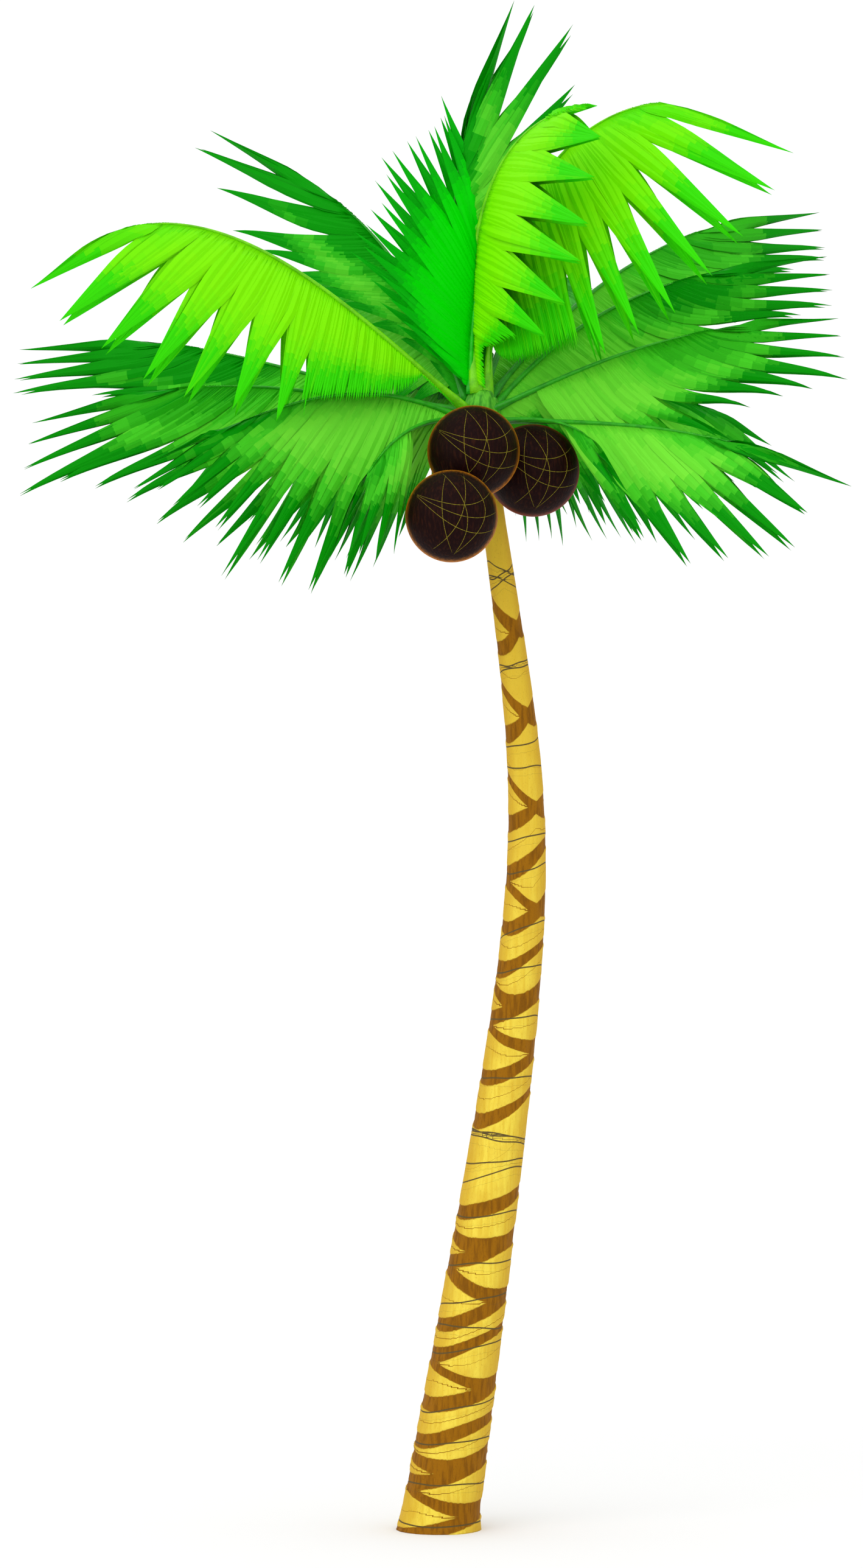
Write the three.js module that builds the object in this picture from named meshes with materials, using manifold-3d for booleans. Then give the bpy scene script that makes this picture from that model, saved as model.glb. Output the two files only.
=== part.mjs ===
// A coconut palm as it stands in the ground: one leaning trunk, the heart of leaf bases on its head,
// and a crown of arching fronds. Each frond is a thin blade folded along its rib, with the tips of its
// leaflets as teeth along both edges. Millimetres, +Z up, with the origin at the middle of the flat cut
// under the trunk. The crown's broad side faces -Y.

import * as THREE from "three";
import { mergeVertices } from "three/addons/utils/BufferGeometryUtils.js";
import Module from "manifold-3d";

const wasm = await Module();
wasm.setup();

// ---------------------------------------------------------------- driving dimensions

const GAP = 0.3; // left between pieces that touch
const WELD = 0.001; // corners nearer than this are one
const CLEARANCE = 8; // left off the faces of a blade where another is cut round it
const EDGE_CLEARANCE = 20; // left off its edges
const CLEAR_FROM = 0.16; // share of the rib over which both grow, from the gap at its stalk

// Trunk: the middle line leans out to the right, bends upright at half height and leans back again.
const TRUNK_TOP = 5400;
const CROWN = new THREE.Vector3(195, 0, 5560); // the point that the fronds spread from
const TRUNK_LINE = new THREE.CubicBezierCurve3(
  new THREE.Vector3(0, 0, 0),
  new THREE.Vector3(590, 0, 3800),
  new THREE.Vector3(505, 0, 3160),
  CROWN,
);
const FOOT_RADIUS = 198;
const HEAD_RADIUS = 50;
const TAPER_POWER = 1.3; // the trunk thins faster low down than near its head
const FLARE_RADIUS = 14; // added at the ground by the root flare
const FLARE_HEIGHT = 130;
const TRUNK_SIDES = 16;
const TRUNK_RINGS = 24;
const RING_CROWDING = 1.15; // the rings stand closer together near the ground
const HALVINGS = 30; // steps that find a height on the trunk's line

// Heart: the bulb of leaf bases. Four tiers of seats climb it, the oldest fronds lowest.
const HEART_RADIUS = 92;
const HEART_TOP = 5622;
const HEART_SIDES = 14;
const HEART_RINGS = 8;
// Its outline between foot and top: radius as a share of the widest, and height above its foot.
const HEART_BELLY = [1, 70];
const HEART_SHOULDER = [0.86, 150];
const HEART_BROW = [0.62, 207.7];
const HEART_FOOT_LIP = 2; // that its foot is wider than the trunk's head
const TIERS = [
  { height: 5462, radius: 66 },
  { height: 5508, radius: 62 },
  { height: 5556, radius: 52 },
  { height: 5592, radius: 38 },
];

// Frond blade
const STALK_HALF_WIDTH = 19; // of the bare stalk where it leaves the heart
const STALK_HALF_DEPTH = 17;
const BLADE_HALF_THICKNESS = 5;
const TIP_SHARE = 0.3; // thickness left at the frond's tip
const BLADE_START = 0.1; // share of the rib's length that is bare stalk
const NOTCH_DEPTH = 0.38; // how far the notches between the teeth cut into the blade
const FOLD = 76; // degrees that the two sides of a blade are folded down from level
const BOW = 0.4; // how far the rib keeps the slopes of its two ends
const GROWING_POWER = 0.7; // how fast the leaflets lengthen from the stalk to the peak
const SHRINKING_POWER = 1.2; // how fast they shorten from there to the tip
const SPLIT = 0.5; // a strongly arched frond is two pieces, parted here
const PARTING = 0.00007; // half the gap between those two, as a share of the rib's length
const RIB_END = 0.995; // where the last section closes the tip

const degrees = THREE.MathUtils.degToRad;

// Fronds. heading: compass direction seen from above, from +X towards +Y. seat: the same for its seat
// on the heart, where that differs. rise and fall: slope of the rib at its base and at its tip. bow: pull
// of those slopes, as a share of the straight distance, where it isn't BOW. reach and lift: where the tip
// is, outward from and above the crown's middle. leaflet: length of the longest, which hang at peak, a
// share of the blade. tuft: length of the last ones, as a share of the longest. first and last: slope of
// the leaflets at the base and at the tip. teeth: groups of leaflets along each edge.
const FRONDS = [
  {
    name: "top", tier: 3, seat: 100, heading: 30, rise: 107, fall: 62,
    reach: 210, lift: 1990, leaflet: 850, peak: 0.5, first: -40, last: 72, teeth: 7,
  },
  {
    name: "upright", tier: 3, seat: 205, heading: 192, rise: 88, fall: 56, bow: 0.45,
    reach: 185, lift: 1500, leaflet: 620, peak: 0.32, first: -10, last: 55, teeth: 8,
  },
  {
    name: "front_arch", tier: 3, seat: 272, heading: 300, rise: 104, fall: -6, bow: 0.54,
    reach: 1120, lift: 1330, leaflet: 980, peak: 0.35, tuft: 0.15, first: -32, last: -2, teeth: 7, split: true,
  },
  {
    name: "right_arch", tier: 2, seat: 352, heading: 328, rise: 92, fall: -38, bow: 0.56,
    reach: 1760, lift: 1110, leaflet: 1100, peak: 0.52, tuft: 0.05, first: -85, last: -60, teeth: 7,
    split: true,
  },
  {
    name: "left_arch", tier: 1, heading: 214, rise: 35, fall: -44, bow: 0.43,
    reach: 2530, lift: 420, leaflet: 870, peak: 0.5, tuft: 0.05, first: -88, last: -56, teeth: 7,
    split: true,
  },
  {
    name: "left_back", tier: 2, heading: 150, rise: 64, fall: 24, bow: 0.45,
    reach: 1560, lift: 1430, leaflet: 460, peak: 0.72, tuft: 0.24, first: -60, last: -46, teeth: 8,
  },
  {
    name: "right_high", tier: 2, heading: 38, rise: 46, fall: 4, bow: 0.38,
    reach: 2270, lift: 1080, leaflet: 700, peak: 0.37, tuft: 0.4, first: -65, last: -80, teeth: 8,
  },
  {
    name: "right_mid", tier: 1, heading: 12, rise: 50, fall: 6,
    reach: 1790, lift: 750, leaflet: 700, peak: 0.37, tuft: 0.4, first: -65, last: -85, teeth: 8,
  },
  {
    name: "right_front", tier: 1, heading: 343, rise: 24, fall: 0,
    reach: 1820, lift: 360, leaflet: 660, peak: 0.37, tuft: 0.42, first: -75, last: -85, teeth: 8,
  },
  {
    name: "right_low", tier: 0, heading: 325, rise: -3, fall: -23,
    reach: 2130, lift: -490, leaflet: 770, peak: 0.4, first: -82, last: -50, teeth: 8,
  },
  {
    name: "right_under", tier: 0, heading: 304, rise: -4, fall: -46,
    reach: 1150, lift: -400, leaflet: 660, peak: 0.37, tuft: 0.2, first: -86, last: -60, teeth: 7,
  },
  {
    name: "left_far", tier: 1, heading: 163, rise: 11, fall: -8,
    reach: 2420, lift: 310, leaflet: 560, peak: 0.37, tuft: 0.42, first: -60, last: -85, teeth: 8,
  },
  {
    name: "left_mid", tier: 0, heading: 184, rise: 12, fall: -20,
    reach: 2190, lift: -120, leaflet: 840, peak: 0.37, tuft: 0.4, first: -72, last: -80, teeth: 8,
  },
  {
    name: "left_low", tier: 0, heading: 207, rise: 22, fall: -24,
    reach: 1780, lift: -360, leaflet: 930, peak: 0.3, tuft: 0.2, first: -86, last: -60, teeth: 8,
  },
  {
    name: "left_under", tier: 0, heading: 238, rise: 0, fall: -58,
    reach: 1180, lift: -640, leaflet: 800, peak: 0.37, tuft: 0.3, first: -90, last: -66, teeth: 7,
  },
  {
    name: "back_high", tier: 2, heading: 96, rise: 62, fall: 2,
    reach: 1250, lift: 1000, leaflet: 640, peak: 0.37, tuft: 0.2, first: -50, last: -30, teeth: 6,
  },
  {
    name: "back_high_left", tier: 2, heading: 126, rise: 54, fall: -10,
    reach: 1500, lift: 720, leaflet: 640, peak: 0.37, tuft: 0.3, first: -60, last: -40, teeth: 6,
  },
  {
    name: "back_high_right", tier: 2, heading: 66, rise: 56, fall: -10,
    reach: 1500, lift: 680, leaflet: 640, peak: 0.37, tuft: 0.3, first: -60, last: -40, teeth: 6,
  },
  {
    name: "back_mid_right", tier: 1, heading: 78, rise: 30, fall: -28,
    reach: 1900, lift: 320, leaflet: 700, peak: 0.37, tuft: 0.3, first: -75, last: -55, teeth: 6,
  },
  {
    name: "back_mid_left", tier: 1, heading: 112, rise: 26, fall: -30,
    reach: 1900, lift: 130, leaflet: 700, peak: 0.37, tuft: 0.3, first: -75, last: -55, teeth: 6,
  },
  {
    name: "back_low_left", tier: 0, heading: 134, rise: 12, fall: -36,
    reach: 2000, lift: -170, leaflet: 700, peak: 0.37, tuft: 0.3, first: -80, last: -60, teeth: 6,
  },
  {
    name: "back_low_right", tier: 0, heading: 62, rise: 14, fall: -32,
    reach: 1950, lift: -70, leaflet: 700, peak: 0.37, tuft: 0.3, first: -80, last: -60, teeth: 6,
  },
  {
    name: "back_right", tier: 0, heading: 28, rise: 10, fall: -34,
    reach: 1700, lift: -170, leaflet: 640, peak: 0.37, tuft: 0.3, first: -80, last: -60, teeth: 6,
  },
];

const MATERIALS = {
  bark: { color: 0xc9a24a, roughness: 0.85, metalness: 0 },
  leaf_base: { color: 0x8a6a35, roughness: 0.9, metalness: 0 },
  leaf: { color: 0x57b52c, roughness: 0.55, metalness: 0 },
};

// ---------------------------------------------------------------- solids

// A geometry as a closed solid that can be cut.
function solidOf(geometry) {
  const bare = new THREE.BufferGeometry();
  bare.setAttribute("position", geometry.getAttribute("position"));
  bare.setIndex(geometry.getIndex());
  const merged = mergeVertices(bare, WELD);
  return new wasm.Manifold(
    new wasm.Mesh({
      numProp: 3,
      vertProperties: merged.attributes.position.array,
      triVerts: new Uint32Array(merged.index.array),
    }),
  );
}

// The largest single body of a solid, back as a geometry.
function geometryOf(solid) {
  const bodies = solid.decompose();
  bodies.sort((a, b) => b.volume() - a.volume());
  const mesh = bodies[0].getMesh();
  const geometry = new THREE.BufferGeometry();
  geometry.setAttribute("position", new THREE.BufferAttribute(mesh.vertProperties, 3));
  geometry.setIndex(new THREE.BufferAttribute(mesh.triVerts, 1));
  return geometry;
}

// A closed skin over rings of the same number of points, with both ends filled.
function loft(rings) {
  const count = rings[0].length;
  const positions = rings.flat().flatMap((point) => point.toArray());
  const triangles = [];
  for (let ring = 0; ring + 1 < rings.length; ring++) {
    for (let side = 0; side < count; side++) {
      const a = ring * count + side;
      const b = ring * count + ((side + 1) % count);
      triangles.push(a, b, b + count, a, b + count, a + count);
    }
  }
  const last = (rings.length - 1) * count;
  for (let side = 1; side + 1 < count; side++) {
    triangles.push(0, side + 1, side);
    triangles.push(last, last + side, last + side + 1);
  }
  const geometry = new THREE.BufferGeometry();
  geometry.setAttribute("position", new THREE.Float32BufferAttribute(positions, 3));
  geometry.setIndex(triangles);
  return geometry;
}

function meshOf(name, geometry, material) {
  geometry.computeVertexNormals();
  const mesh = new THREE.Mesh(geometry, new THREE.MeshStandardMaterial(MATERIALS[material]));
  mesh.name = name;
  return mesh;
}

// ---------------------------------------------------------------- trunk

// Middle of the trunk at a height, found on its line by halving.
function trunkMiddle(height) {
  let low = 0;
  let high = 1;
  for (let step = 0; step < HALVINGS; step++) {
    const middle = (low + high) / 2;
    if (TRUNK_LINE.getPoint(middle).z < height) low = middle;
    else high = middle;
  }
  return TRUNK_LINE.getPoint(low);
}

function trunkRadius(height) {
  const taper = (1 - height / CROWN.z) ** TAPER_POWER;
  const flare = FLARE_RADIUS * Math.max(0, 1 - height / FLARE_HEIGHT) ** 2;
  return HEAD_RADIUS + (FOOT_RADIUS - HEAD_RADIUS) * taper + flare;
}

// A turned profile of the trunk's radii, whose rings are then carried sideways onto its leaning line.
function trunk() {
  const profile = [new THREE.Vector2(0, 0)];
  for (let ring = 0; ring <= TRUNK_RINGS; ring++) {
    const height = TRUNK_TOP * (ring / TRUNK_RINGS) ** RING_CROWDING;
    profile.push(new THREE.Vector2(trunkRadius(height), height));
  }
  profile.push(new THREE.Vector2(0, TRUNK_TOP));
  const geometry = new THREE.LatheGeometry(profile, TRUNK_SIDES).rotateX(Math.PI / 2);
  const position = geometry.getAttribute("position");
  for (let i = 0; i < position.count; i++) {
    const height = position.getZ(i);
    position.setX(i, position.getX(i) + trunkMiddle(height).x);
  }
  return meshOf("trunk", geometryOf(solidOf(geometry)), "bark");
}

// ---------------------------------------------------------------- heart

// The heart stands on the trunk's head and swells above it. grow thickens it for cutting seats.
function heartGeometry(grow) {
  const foot = TRUNK_TOP + GAP;
  const outline = new THREE.SplineCurve([
    new THREE.Vector2(trunkRadius(TRUNK_TOP) + HEART_FOOT_LIP, foot),
    ...[HEART_BELLY, HEART_SHOULDER, HEART_BROW].map(
      ([share, above]) => new THREE.Vector2(HEART_RADIUS * share, foot + above),
    ),
  ]);
  const profile = outline.getPoints(HEART_RINGS).map((p) => new THREE.Vector2(p.x + grow, p.y));
  profile[0].y -= grow;
  const closed = [
    new THREE.Vector2(0, foot - grow),
    ...profile,
    new THREE.Vector2(0, HEART_TOP + grow),
  ];
  const geometry = new THREE.LatheGeometry(closed, HEART_SIDES).rotateX(Math.PI / 2);
  return geometry.translate(trunkMiddle(TRUNK_TOP).x, 0, 0);
}

// ---------------------------------------------------------------- fronds

// Direction of a compass heading and a slope.
function direction(heading, slope) {
  const flat = Math.cos(degrees(slope));
  return new THREE.Vector3(
    flat * Math.cos(degrees(heading)),
    flat * Math.sin(degrees(heading)),
    Math.sin(degrees(slope)),
  );
}

// The rib of a frond, from its seat in the heart to its tip.
function ribOf(frond) {
  const tier = TIERS[frond.tier];
  const base = direction(frond.seat ?? frond.heading, 0).multiplyScalar(tier.radius);
  base.x += CROWN.x;
  base.z = tier.height;
  const tip = direction(frond.heading, 0).multiplyScalar(frond.reach).add(CROWN);
  tip.z += frond.lift;
  const pull = (frond.bow ?? BOW) * base.distanceTo(tip);
  return new THREE.CubicBezierCurve3(
    base,
    direction(frond.heading, frond.rise).multiplyScalar(pull).add(base),
    direction(frond.heading, frond.fall).multiplyScalar(-pull).add(tip),
    tip,
  );
}

// Share of the longest leaflet that hangs beside a share of the rib's length.
function leafletShare(frond, along) {
  const past = Math.max(0, (along - BLADE_START) / (1 - BLADE_START));
  const before = Math.min(1, past / frond.peak);
  const after = Math.max(0, (past - frond.peak) / (1 - frond.peak));
  const growing = Math.sin((before * Math.PI) / 2) ** GROWING_POWER;
  const shrinking = Math.cos((after * Math.PI) / 2) ** SHRINKING_POWER;
  const tuft = (frond.tuft ?? 0) * past ** 2;
  return tuft + (1 - tuft) * growing * shrinking;
}

// One cross-section of a frond: the rib's ridge, the two hanging edges and the fold's underside.
function section(frond, rib, along, depth, roomy) {
  const middle = rib.getPoint(along);
  const forward = rib.getTangent(along);
  const side = direction(frond.heading - 90, 0);
  const over = new THREE.Vector3().crossVectors(side, forward);
  const stalk = 1 - Math.min(1, along / BLADE_START);
  const fold = degrees(FOLD) * (1 - stalk);
  const lean = direction(frond.heading, THREE.MathUtils.lerp(frond.first, frond.last, along));
  const thin = THREE.MathUtils.lerp(1, TIP_SHARE, along);
  const room = roomy ? Math.min(1, along / CLEAR_FROM) : 0;
  const half = BLADE_HALF_THICKNESS * thin + CLEARANCE * room + (roomy ? GAP : 0);
  const ridge = half / Math.cos(fold) + STALK_HALF_DEPTH * stalk;
  const leaflet = frond.leaflet * leafletShare(frond, along) * depth + STALK_HALF_WIDTH * thin;
  const length = leaflet + EDGE_CLEARANCE * room + (roomy ? GAP : 0);
  const edge = (sign, offset) => {
    const leaf = side.clone().multiplyScalar(sign * Math.cos(fold));
    leaf.addScaledVector(lean, Math.sin(fold));
    const out = new THREE.Vector3().crossVectors(leaf, forward).normalize();
    return middle.clone().addScaledVector(leaf, length).addScaledVector(out, sign * offset);
  };
  return [
    middle.clone().addScaledVector(over, ridge),
    edge(1, half),
    edge(1, -half),
    middle.clone().addScaledVector(over, -ridge),
    edge(-1, -half),
    edge(-1, half),
  ];
}

// A stretch of a frond's blade, with a tooth at every other section. roomy is the larger one that cuts
// room for it in its neighbours.
function blade(frond, start, end, roomy) {
  const rib = ribOf(frond);
  const steps = Math.max(2, Math.round(2 * frond.teeth * (end - start)));
  const rings = [];
  for (let step = 0; step <= steps; step++) {
    const along = THREE.MathUtils.lerp(start, end, step / steps);
    const atTooth = Math.round(2 * frond.teeth * along) % 2 === 1;
    const depth = atTooth || roomy ? 1 : 1 - NOTCH_DEPTH;
    rings.push(section(frond, rib, along, depth, roomy));
  }
  return loft(rings);
}

// ---------------------------------------------------------------- the palm

const palm = new THREE.Group();
palm.name = "coconut_palm";
palm.add(trunk());

const heart = heartGeometry(0);
palm.add(meshOf("heart", geometryOf(solidOf(heart)), "leaf_base"));

// Each frond is cut round the heart and round the fronds before it.
const taken = [solidOf(heartGeometry(GAP))];
const crown = new THREE.Group();
for (const frond of FRONDS) {
  const stretches = frond.split
    ? [["inner", 0, SPLIT - PARTING], ["outer", SPLIT + PARTING, RIB_END]]
    : [["", 0, RIB_END]];
  for (const [part, start, end] of stretches) {
    let solid = solidOf(blade(frond, start, end, false));
    for (const other of taken) solid = solid.subtract(other);
    const name = ["frond", frond.name, part].filter(Boolean).join("_");
    crown.add(meshOf(name, geometryOf(solid), "leaf"));
  }
  taken.push(solidOf(blade(frond, 0, RIB_END, true)));
}
palm.add(crown);

export default palm;
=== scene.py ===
# %% [markdown]
# # A coconut palm
# The palm has one leaning trunk, a heart of leaf bases, twenty-three fronds and three nuts. The packed
# model holds the true sizes: a solid trunk and a thin blade for each frond. Here each of those gets its
# finished surface. Everything is in metres, with the ground at zero and the palm's broad side facing -Y.

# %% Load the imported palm
import math
from dataclasses import dataclass

import bmesh
import bpy
import numpy as np
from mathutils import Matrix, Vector


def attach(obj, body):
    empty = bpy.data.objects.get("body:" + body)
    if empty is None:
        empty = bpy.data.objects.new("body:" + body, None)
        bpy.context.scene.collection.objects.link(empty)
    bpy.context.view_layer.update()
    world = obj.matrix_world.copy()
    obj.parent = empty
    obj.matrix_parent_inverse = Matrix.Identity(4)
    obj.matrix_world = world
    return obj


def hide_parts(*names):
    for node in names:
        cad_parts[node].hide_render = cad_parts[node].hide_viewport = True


def added(name, data):
    """A new object in the scene."""
    made = bpy.data.objects.new(name, data)
    bpy.context.scene.collection.objects.link(made)
    return made


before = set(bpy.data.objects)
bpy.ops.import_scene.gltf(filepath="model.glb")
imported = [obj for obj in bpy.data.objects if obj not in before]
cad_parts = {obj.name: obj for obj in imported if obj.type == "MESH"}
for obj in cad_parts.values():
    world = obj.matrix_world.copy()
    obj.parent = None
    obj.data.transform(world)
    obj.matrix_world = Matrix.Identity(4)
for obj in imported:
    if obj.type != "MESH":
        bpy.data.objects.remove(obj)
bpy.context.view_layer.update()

# %% [markdown]
# ## Camera
# A tree is looked at from far off with a long lens, so that its crown isn't foreshortened. The camera
# stands level at half the palm's height, and its lens is worked out from the height that it has to take
# in.

# %% Camera
VIEW_DISTANCE = 26.0
VIEW_HEIGHT = 7.728
CLIP_END = 1000
EYE = Vector((-0.033, -VIEW_DISTANCE, 3.672))

camera = added("camera", bpy.data.cameras.new("camera"))
camera.location = EYE
camera.rotation_euler = (math.pi / 2, 0, 0)
camera.data.lens = camera.data.sensor_width * VIEW_DISTANCE / VIEW_HEIGHT
camera.data.clip_end = CLIP_END
bpy.context.scene.camera = camera
print("lens:", round(camera.data.lens, 1), "mm")

# %% [markdown]
# ## Light and floor
# Plain studio light is a pale sky that lights every side, and one wide, soft sun that models the round
# of the trunk and the folds of the leaves. The floor's paint is a little darker than the sky, by just as
# much as the sun adds to it, so that the two meet without a line. The Standard view keeps the greens as
# strong as they are painted.

# %% Light and floor
SKY = 1.06
SUN_STRENGTH = 0.75
SUN_TILT = math.radians(56)
SUN_TURN = math.radians(-30)
SUN_WIDTH = math.radians(60)
FLOOR_RADIUS = 400

world = bpy.data.worlds.new("studio")
world.use_nodes = True
world.node_tree.nodes["Background"].inputs["Color"].default_value = (SKY, SKY, SKY, 1)
bpy.context.scene.world = world
bpy.context.scene.view_settings.view_transform = "Standard"

sun = added("sun", bpy.data.lights.new("sun", "SUN"))
sun.data.energy = SUN_STRENGTH
sun.data.angle = SUN_WIDTH
sun.rotation_euler = (SUN_TILT, 0, SUN_TURN)

bm = bmesh.new()
bmesh.ops.create_circle(bm, cap_ends=True, segments=64, radius=FLOOR_RADIUS)
floor = added("floor", bpy.data.meshes.new("floor"))
bm.to_mesh(floor.data)
bm.free()

# %% [markdown]
# ## Writing shaders as sums
# A shader graph is easier to read as a formula. `Socket` wraps one output of a graph, and its operators
# add the Math nodes. `Paint` is one material: its Principled shader, whose constants are set once, and
# one method that adds any other node.

# %% Shader helpers
def linear(red, green, blue):
    """A paint colour of 0 to 255 a channel, as the shader's linear colour."""
    share = np.array([red, green, blue]) / 255
    low = share / 12.92
    high = ((share + 0.055) / 1.055) ** 2.4
    return (*np.where(share <= 0.04045, low, high).tolist(), 1.0)


def operator(operation, reflected=False):
    """A method that adds a Math node for itself and another value, in turned order if reflected."""

    def method(self, *others):
        values = (*others, self) if reflected else (self, *others)
        return self.paint.node("ShaderNodeMath", values, operation=operation)

    return method


class Socket:
    """A number in a shader graph."""

    __add__ = __radd__ = operator("ADD")
    __sub__ = operator("SUBTRACT")
    __rsub__ = operator("SUBTRACT", reflected=True)
    __mul__ = __rmul__ = operator("MULTIPLY")
    __truediv__ = operator("DIVIDE")
    __abs__ = operator("ABSOLUTE")

    def __init__(self, paint, output):
        self.paint = paint
        self.output = output

    def step(self, low, high):
        """0 below low, 1 above high, and smooth between."""
        return self.paint.node(
            "ShaderNodeMapRange",
            {"Value": self, "From Min": low, "From Max": high},
            interpolation_type="SMOOTHSTEP",
        )


class Paint:
    """One material, around its Principled shader."""

    def __init__(self, name, **constants):
        self.material = bpy.data.materials.new(name)
        self.material.use_nodes = True
        self.tree = self.material.node_tree
        self.shader = self.tree.nodes["Principled BSDF"]
        for socket, value in constants.items():
            self.shader.inputs[socket.replace("_", " ")].default_value = value

    def fill(self, socket, value):
        if isinstance(value, Socket):
            self.tree.links.new(value.output, socket)
        else:
            socket.default_value = value

    def node(self, kind, values=(), output=0, **settings):
        """Adds a node. Its settings come first, then its sockets, by number or by name."""
        made = self.tree.nodes.new(kind)
        for name, setting in settings.items():
            setattr(made, name, setting)
        named = values if isinstance(values, dict) else dict(enumerate(values))
        for key, value in named.items():
            self.fill(made.inputs[key], value)
        return Socket(self, made.outputs[output])

    def mix(self, share, first, second):
        """first where share is 0, second where it is 1, as colours."""
        made = self.tree.nodes.new("ShaderNodeMix")
        made.data_type = "RGBA"
        for number, value in zip((0, 6, 7), (share, first, second)):
            self.fill(made.inputs[number], value)
        return Socket(self, made.outputs[2])

    def place(self, scale=(1, 1, 1)):
        """Object coordinates, stretched by scale."""
        spot = self.node("ShaderNodeTexCoord", output="Object")
        return self.node("ShaderNodeMapping", {"Vector": spot, "Scale": scale})

    def noise(self, scale, detail=3, stretch=(1, 1, 1)):
        spot = self.place(stretch)
        return self.node("ShaderNodeTexNoise", {"Vector": spot, "Scale": scale, "Detail": detail})

    def coordinate(self, axis):
        """One of the object coordinates, in metres."""
        return self.node("ShaderNodeSeparateXYZ", [self.place()], output=axis)

    def attribute(self, name):
        return self.node("ShaderNodeAttribute", output="Fac", attribute_name=name)

    def drive(self, **sockets):
        """Links what changes over the surface to the shader's own sockets."""
        for name, value in sockets.items():
            self.fill(self.shader.inputs[name.replace("_", " ")], value)

    def bump(self, height, depth):
        normal = self.node("ShaderNodeBump", {"Height": height, "Distance": depth})
        self.drive(Normal=normal)


# %% Floor finish
FLOOR_BOUNCE = SKY / (SKY + SUN_STRENGTH * math.cos(SUN_TILT) / math.pi)

pale = (FLOOR_BOUNCE, FLOOR_BOUNCE, FLOOR_BOUNCE, 1)
floor_paint = Paint("pale_floor", Base_Color=pale, Roughness=1, Specular_IOR_Level=0)
floor.data.materials.append(floor_paint.material)
print("floor bounces", round(FLOOR_BOUNCE, 2))

# %% [markdown]
# ## Rolling a tube
# A trunk, a rib and a stalk are all tubes that bend and taper. A pipe along a curve would keep one round
# section, so each is a flat grid instead, rolled up: its columns go round and its rows run along, and
# one function says where each corner goes. The seam is merged and both ends are closed.

# %% Tube helper
TAU = 2 * math.pi
MERGE_DISTANCE = 1e-6


def finished(name, bm, *materials):
    """The bmesh as an object of that name, at the origin."""
    mesh = bpy.data.meshes.new(name)
    bm.to_mesh(mesh)
    bm.free()
    for material in materials:
        mesh.materials.append(material)
    mesh.polygons.foreach_set("use_smooth", np.full(len(mesh.polygons), True))
    return added(name, mesh)


def rolled(sides, rings, spot_of, bm=None):
    """Adds a closed tube to bm. spot_of turns shares round and along it, from 0 to 1, into places."""
    tube = bmesh.new()
    bmesh.ops.create_grid(tube, x_segments=sides, y_segments=rings, size=0.5)
    flat = np.array([vertex.co for vertex in tube.verts])
    spots = spot_of(flat[:, 0] + 0.5, flat[:, 1] + 0.5)
    for vertex, spot in zip(tube.verts, spots):
        vertex.co = spot
    bmesh.ops.remove_doubles(tube, verts=tube.verts, dist=MERGE_DISTANCE)
    rims = [edge for edge in tube.edges if edge.is_boundary]
    bmesh.ops.holes_fill(tube, edges=rims, sides=0)
    bmesh.ops.recalc_face_normals(tube, faces=tube.faces)
    if bm is None:
        return tube
    mesh = bpy.data.meshes.new("part")
    tube.to_mesh(mesh)
    tube.free()
    bm.from_mesh(mesh)
    bpy.data.meshes.remove(mesh)
    return bm


def oval(middle, side, over, wide, deep, around):
    """Spots on a tube's oval sections, each given by its middle, two axes and their half lengths."""
    turn = around * TAU
    return middle + side * (wide * np.cos(turn))[:, None] + over * (deep * np.sin(turn))[:, None]


def unit(vectors):
    return vectors / np.maximum(np.linalg.norm(vectors, axis=-1, keepdims=True), 1e-9)


def bezier(points, shares):
    """Places and directions on a cubic curve with four control points."""
    p = np.asarray(points, float)
    t = np.asarray(shares, float)[:, None]
    spots = (1 - t) ** 3 * p[0] + 3 * t * (1 - t) ** 2 * p[1] + 3 * t**2 * (1 - t) * p[2] + t**3 * p[3]
    slopes = 3 * ((1 - t) ** 2 * (p[1] - p[0]) + 2 * t * (1 - t) * (p[2] - p[1]) + t**2 * (p[3] - p[2]))
    return spots, unit(slopes)


# %% [markdown]
# ## The trunk's line
# The trunk leans out to the right, bends upright at half height and leans back again. It is 0.4 m thick
# at the ground, where it flares a little, and a quarter of that under the crown. These are the same
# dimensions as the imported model's, so the bark fits its solid.

# %% Trunk dimensions
CROWN = np.array([0.195, 0.0, 5.560])
TRUNK_TOP = 5.400
TRUNK_LINE = [(0, 0, 0), (0.590, 0, 3.800), (0.505, 0, 3.160), CROWN]
FOOT_RADIUS = 0.198
HEAD_RADIUS = 0.050
TAPER_POWER = 1.3
FLARE_RADIUS = 0.014
FLARE_HEIGHT = 0.130
LINE_STEPS = np.linspace(0, 1, 2001)
TRUNK_SPOTS = bezier(TRUNK_LINE, LINE_STEPS)[0]


def trunk_middle(height):
    return np.interp(height, TRUNK_SPOTS[:, 2], TRUNK_SPOTS[:, 0])


def trunk_radius(height):
    taper = (1 - height / CROWN[2]) ** TAPER_POWER
    flare = FLARE_RADIUS * np.maximum(0, 1 - height / FLARE_HEIGHT) ** 2
    return HEAD_RADIUS + (FOOT_RADIUS - HEAD_RADIUS) * taper + flare


print("trunk at breast height:", round(float(2 * trunk_radius(1.3)), 3), "m across")

# %% [markdown]
# ## Leaf scars and cracks
# Every frond that a palm drops leaves a scar round its trunk. It is a brown, slightly sunken band that
# tilts, because the old frond clasped the trunk from one side. Thin growth cracks run between the scars.
# Both are kept as distances on the mesh's vertices: a distance stays smooth between vertices, so the
# shader can cut a crisp edge from it, and the same numbers press the band into the mesh.

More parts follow.
